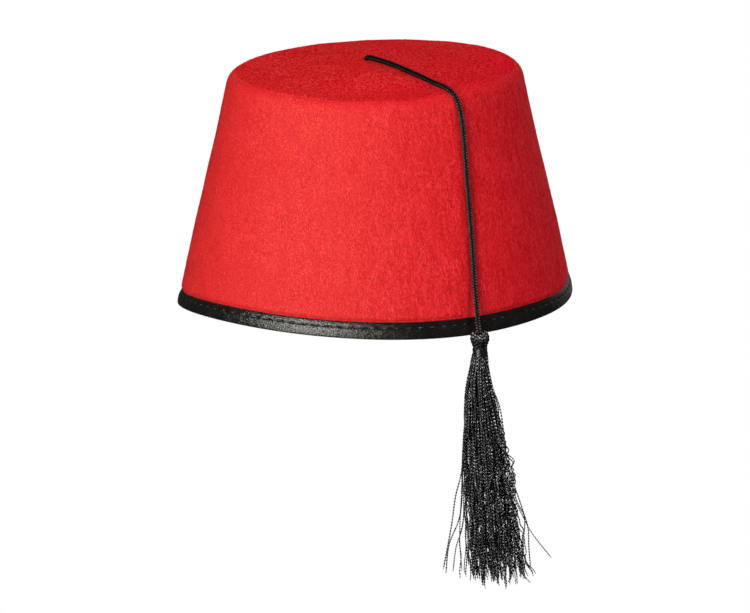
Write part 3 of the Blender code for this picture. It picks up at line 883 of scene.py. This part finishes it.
# sizes of the felt's clouds in metres, from single fibres to wide stains, and the height of its relief
felt = {"fine": 0.00040, "streak": 0.00058, "fibre": 0.0006, "tuft": 0.0011, "blot": 0.0020,
        "brush": 0.0024, "stain": 0.024, "depth": 0.0006}


def feltFinish(name, shine, paintedSheen):
    # Pressed felt: four reds on a ramp over a mix of clouds. The wall's grain is fine and upright. At the
    # hat's side away from the key light its grain and brush marks are painted stronger and its red deeper,
    # as painted shade. The top's is laid flat in longer tufts.
    sheet = Sheet(name)
    flat, upright, brushedWay = sheet.place(), sheet.place((1.0, 1.0, 0.3)), sheet.place((1.0, 1.0, 0.11))
    fine = sheet.noise(flat, felt["fine"], rough=0.5)
    streak = sheet.noise(upright, felt["streak"], rough=0.5, twist=0.3)
    blot = sheet.noise(flat, felt["blot"], rough=0.6, twist=0.5)
    tuft = sheet.noise(flat, felt["tuft"], rough=0.5, twist=0.15)
    stain = sheet.noise(flat, felt["stain"])
    brushed = sheet.noise(brushedWay, felt["brush"], detail=3.0, twist=0.2)
    where = sheet.coords()
    x, y, z = (sheet.add("ShaderNodeSeparateXYZ", inputs=[where], output=axis) for axis in ("X", "Y", "Z"))
    # the side away from the key light, where shade is painted into the grain and the colour
    shadedSide = sheet.spread(x * 0.9 + y * 0.43, 0.015, 0.065)
    onTop = sheet.spread(z, 0.105, 0.111)
    calm = sheet.spread(fine * 0.72 + streak * 0.22 + blot * 0.06, 0.39, 0.61)
    rough = sheet.spread(fine * 0.50 + streak * 0.50, 0.43, 0.57)
    # painted shade: the grain and the brush marks are stronger at the side, as grazing light would show the
    # relief
    brushMarks = sheet.spread(brushed, 0.36, 0.64, -0.17, 0.17)
    wallGrain = calm + (rough - calm) * shadedSide + brushMarks * (shadedSide * 0.75 + 0.4)
    topGrain = sheet.spread(fine * 0.55 + tuft * 0.45, 0.405, 0.595)
    grain = wallGrain + (topGrain - wallGrain) * onTop
    # the top's copy adds green and blue to the lighter reds: a painted sheen
    colour = sheet.ramp(grain, (0.0, (0.47, 0.001, 0.004)), (0.35, (0.60, 0.003, 0.008)),
                        (0.65, (0.71, 0.012 + paintedSheen / 2, 0.017 + paintedSheen / 3)),
                        (1.0, (0.80, 0.055 + paintedSheen, 0.050 + paintedSheen)))
    colour = sheet.blend(sheet.spread(stain, 0.38, 0.66, 0.0, 0.35), colour, (0.60, 0.005, 0.010, 1.0))
    # painted shade: the side is painted a deeper crimson, without the sheen that lit felt shows
    colour = sheet.blend(shadedSide * 0.9, colour, (1.0, 0.5, 0.95, 1.0), "MULTIPLY")
    relief = fine * 0.6 + sheet.noise(upright, felt["fibre"], detail=3.0, rough=0.7, twist=0.8) * 0.4
    return sheet.finish(Base_Color=colour, Roughness=sheet.spread(grain, 0.2, 0.8, 0.68, 0.54),
                        Specular_IOR_Level=shine, Specular_Tint=(1.0, 0.72, 0.52, 1.0),
                        Normal=sheet.bump(relief, felt["depth"]))


crownPiece, feltGrid, feltNormal, feltHeight = addCrown()
dress(crownPiece, "crown")
print("crown moulded")


# Surface fibres

fuzz = {"fibres": 22000, "length": (1.2, 3.6), "width": 0.075, "lift": (0.05, 0.38), "bend": 0.22,
        "rooted": 0.03, "lowest": 9.8, "seed": 9}


def fibreFinish():
    # each fibre is one of a row of reds
    sheet = Sheet("felt_fibre")
    colour = sheet.ramp(sheet.tone(), (0.0, (0.48, 0.002, 0.006)), (0.45, (0.66, 0.008, 0.012)),
                        (0.8, (0.74, 0.022, 0.022)), (1.0, (0.84, 0.08, 0.065)))
    return sheet.finish(Base_Color=colour, Roughness=0.8, Specular_IOR_Level=0.0)


def addFuzz():
    # Loose surface fibres: each is a bent ribbon of two quads. It starts in the felt, runs along it and
    # lifts at its end. On the wall most run up and down, on the top they lie all ways.
    rng = np.random.default_rng(fuzz["seed"])
    count, cols = fuzz["fibres"], feltGrid.shape[1]
    right, below = np.roll(feltGrid, -1, 1)[:-1] - feltGrid[:-1], feltGrid[1:] - feltGrid[:-1]
    area = np.linalg.norm(np.cross(right, below), axis=-1)
    area[feltHeight[:-1] < fuzz["lowest"]] = 0
    area[:3] = 0
    pick = rng.choice(area.size, count, p=(area / area.sum()).ravel())
    row, col = pick // cols, pick % cols
    rowShare, colShare = rng.random(count)[:, None], rng.random(count)[:, None]
    here, right, below = feltGrid[row, col], feltGrid[row, (col + 1) % cols], feltGrid[row + 1, col]
    start = here + (right - here) * colShare + (below - here) * rowShare
    normal = feltNormal[row, col]
    down, across = unit(below - here), unit(right - here)
    onWall = easeIn(112.0 - start[:, 2], 2.0, 12.0)[:, None]
    spread = rng.normal(0, 1, count)[:, None] * (1.6 - 1.05 * onWall)
    way = unit(down * np.sign(rng.normal(size=count))[:, None] * np.cos(spread) + across * np.sin(spread))
    length = rng.uniform(*fuzz["length"], count)[:, None]
    lift = rng.uniform(*fuzz["lift"], count)[:, None] * rng.random(count)[:, None]
    bend = np.cross(normal, way) * rng.normal(0, fuzz["bend"], count)[:, None] * length
    t = np.array([0.0, 0.5, 1.0])[None, :, None]
    rise = normal[:, None] * (lift[:, None] * t ** 1.5 - fuzz["rooted"])
    spine = start[:, None] + way[:, None] * length[:, None] * t + bend[:, None] * t ** 2 + rise
    roll = rng.uniform(-0.9, 0.9, count)[:, None]
    flat = unit(np.cross(normal, way)) * np.cos(roll) + normal * np.sin(roll)
    half = fuzz["width"] / 2 * np.array([0.7, 1.0, 0.25])[None, :, None]
    ribbon = np.stack([spine - flat[:, None] * half, spine + flat[:, None] * half], 2)
    quads = np.arange(count)[:, None, None] * 6 + np.array([[0, 1, 3, 2], [2, 3, 5, 4]])[None]
    tone = np.repeat(rng.random(count), 6)
    return addMesh("felt_fibres", ribbon.reshape(-1, 3), quads.reshape(-1, 4), fibreFinish(), tone)


dress(addFuzz(), "crown")
print("fibres laid")


# Binding

stitchLine = tape["height"] - tape["stitchBelowTop"]
tapeSkin = tape["gap"] + tape["thick"] + tape["loft"]  # from the felt's face to the tape's


def tapeOuterFace(beat, slow, wrinkle, narrow):
    # Radii and heights of the outer face. The upper strip slopes in towards the felt, the lower band
    # swells, and between them lies a groove as a bell curve, deepest at each stitch, where the band's
    # edge also pulls in.
    top, stitch = tape["height"], stitchLine
    belowTop = np.array([0.05, 0.12, 0.35, 0.8, 1.35])
    belowStitch = np.array([-0.75, -0.4, -0.2, 0.0, 0.2, 0.42, 0.8, 1.4, 2.1, 2.9, 3.7, 4.3, 4.8])
    up = np.concatenate([top - belowTop, stitch - belowStitch])
    upper = np.clip((up - stitch) / tape["stitchBelowTop"], 0, 1)
    lower = np.clip((stitch - up) / stitch, 0, 1)
    swell = np.where(up > stitch, -upper, tape["puff"] * np.sin(np.pi * lower) ** 0.45)[:, None]
    groove = tape["groove"] * np.exp(-((up - stitch) / 0.36) ** 2)[:, None]
    pull = np.exp(-((up - stitch) / 0.85) ** 2)[:, None]
    out = swell * (1 + 0.25 * slow[None] + 0.35 * wrinkle[None] * np.sin(np.pi * lower)[:, None])
    out = out - groove * (0.72 + 0.28 * beat[None])
    out = out - pull * tape["pull"] * (1 + beat[None]) + 0.03 * wrinkle[None] * pull
    out[:3] -= np.array([0.55, 0.25, 0.06])[:, None]  # the upper edge turns in to the felt
    edgeWave = tape["wave"] * slow + 0.05 * wrinkle
    height = up[:, None] * narrow + np.where(up > top - 1.0, 1.0, 0.0)[:, None] * edgeWave[None]
    return wallRadius(height, -tapeSkin) + out, height


def tapeInnerFace(beat, wrinkle, narrow):
    # radii and heights of the inner face, which only dips at its stitches
    top, stitch = tape["height"], stitchLine
    up = np.array([1.1, 2.0, 3.2, stitch - 0.9, stitch - 0.4, stitch, stitch + 0.4, stitch + 1.0,
                   top - 0.9, top - 0.35, top - 0.05])
    pull = 0.22 * np.exp(-((up - stitch) / 0.35) ** 2)[:, None] * (0.7 + 0.3 * beat[None])
    radius = wallRadius(up[:, None] * narrow, crown["wall"] + tapeSkin) + pull + 0.02 * wrinkle[None]
    radius[-2:] += np.array([0.08, 0.5])[:, None]
    return radius, up


def ringWaves(rng, angle, turns):
    # mean of sine waves round the hat, each of its own height
    return sum(rng.uniform(0.4, 1) * np.sin(angle * k + rng.uniform(0, 6.3)) for k in turns) / len(turns)


def addBinding():
    # The tape's section is a closed line: outer face, fold under the rim, inner face, and back along
    # the felt. It is carried round the hat, narrower at both ends of the fold line.
    rng = np.random.default_rng(tape["seed"])
    angle = circle(tape["around"])
    beat = np.cos(angle * tape["stitches"])
    wrinkle, slow = ringWaves(rng, angle, (61, 83, 137, 171)), ringWaves(rng, angle, (5, 9, 14))
    narrow = 1 - tape["narrower"] * atFold(angle)[None]
    outerR, outerZ = tapeOuterFace(beat, slow, wrinkle, narrow)
    innerR, innerZ = tapeInnerFace(beat, wrinkle, narrow)
    middle = wallRadius(0.0, crown["wall"] / 2)
    turn = np.linspace(0.12 * np.pi, 0.88 * np.pi, 9)
    foldR = middle + (crown["wall"] / 2 + tapeSkin) * np.cos(turn) * 0.98
    foldZ = tape["foldRise"] - tape["foldRise"] * np.sin(turn) ** 0.8
    backZ = np.array([tape["height"] - 0.4, stitchLine, 2.2])
    underR, underZ = np.array([middle - 0.6, middle + 0.6]), np.array([0.85, 0.85])
    backR = np.concatenate([wallRadius(backZ, crown["wall"] + tape["gap"]), underR,
                            wallRadius(backZ[::-1], -tape["gap"])])
    allR = np.concatenate([outerR, np.repeat(foldR[:, None], tape["around"], 1), innerR,
                           np.repeat(backR[:, None], tape["around"], 1)])
    otherZ = np.concatenate([foldZ, innerZ, backZ, underZ, backZ[::-1]])
    allZ = np.concatenate([outerZ, otherZ[:, None] * narrow])
    grid = hatPoint(allR, allZ, angle[None])
    quads = gridQuads(len(grid), tape["around"], closeRows=True)[:, ::-1]
    isBand = np.where(allZ < (stitchLine - 0.1) * narrow, 1.0, 0.0)
    return addMesh("folded_binding", grid.reshape(-1, 3), quads, tapeFinish(), isBand)


def tapeFinish():
    # Smooth coated tape: near black, with a fine grain that breaks up its gloss. The tone is 1 on the
    # band below the stitches and 0 on the strip above them, which is glossier.
    sheet = Sheet("black_tape_dressed")
    where = sheet.place()
    grain, cloud = sheet.noise(where, 0.0008, rough=0.6), sheet.noise(where, 0.007)
    mix = grain * 0.6 + cloud * 0.4
    colour = sheet.ramp(mix, (0.3, (0.003, 0.003, 0.003)), (0.75, (0.010, 0.009, 0.008)))
    gloss = sheet.spread(mix, 0.3, 0.7, 0.17, 0.34) - (1 - sheet.tone()) * 0.07
    return sheet.finish(Base_Color=colour, Roughness=gloss, Specular_IOR_Level=0.66,
                        Specular_Tint=(1.0, 0.97, 0.88, 1.0), Normal=sheet.bump(grain, 0.00036))


def addStitches():
    # Each stitch is a short thread that comes out of the tape, lies in the groove and goes back in, as
    # a low arc that falls off with the fourth power. One row lies outside and one inside the rim.
    angle = (np.arange(tape["stitches"]) + 0.5) * 2 * np.pi / tape["stitches"]
    s = np.linspace(-0.5, 0.5, 9)
    rng = np.random.default_rng(tape["seed"] + 1)
    pieces = []
    for inset, out in ((-tapeSkin, 1.0), (crown["wall"] + tapeSkin, -1.0)):
        at = angle[:, None] + s[None] * tape["stitchLength"] * 2 * np.pi / tape["stitches"]
        at = at + rng.normal(0, 0.0012, len(angle))[:, None]
        height = stitchLine + 0.10 * s[None] * 2 + rng.normal(0, 0.05, len(angle))[:, None]
        height = height * (1 - tape["narrower"] * atFold(at))
        bow = (0.10 - 1.55 * np.abs(s[None] * 2) ** 4) * out - 0.32 * out
        paths = hatPoint(wallRadius(height, inset) + bow, height, at)
        points, quads = tubes(paths, tape["thread"], tape["thread"] * 0.9, turns=s[None] * 9,
                              sides=tape["threadSides"], reference=(0.0, 0.0, 1.0))
        pieces.append((points, quads, np.repeat(rng.random(len(angle)), len(s) * tape["threadSides"])))
    finish = yarnFinish("stitch_thread", dark=(0.010, 0.010, 0.010), light=(0.07, 0.068, 0.064),
                        roughness=0.32, shine=0.9)
    return joined("rim_stitches", pieces, finish)


for piece in (addBinding(), addStitches()):
    dress(piece, "rim_binding")
print("binding sewn")

addStudio()
print("studio lit")
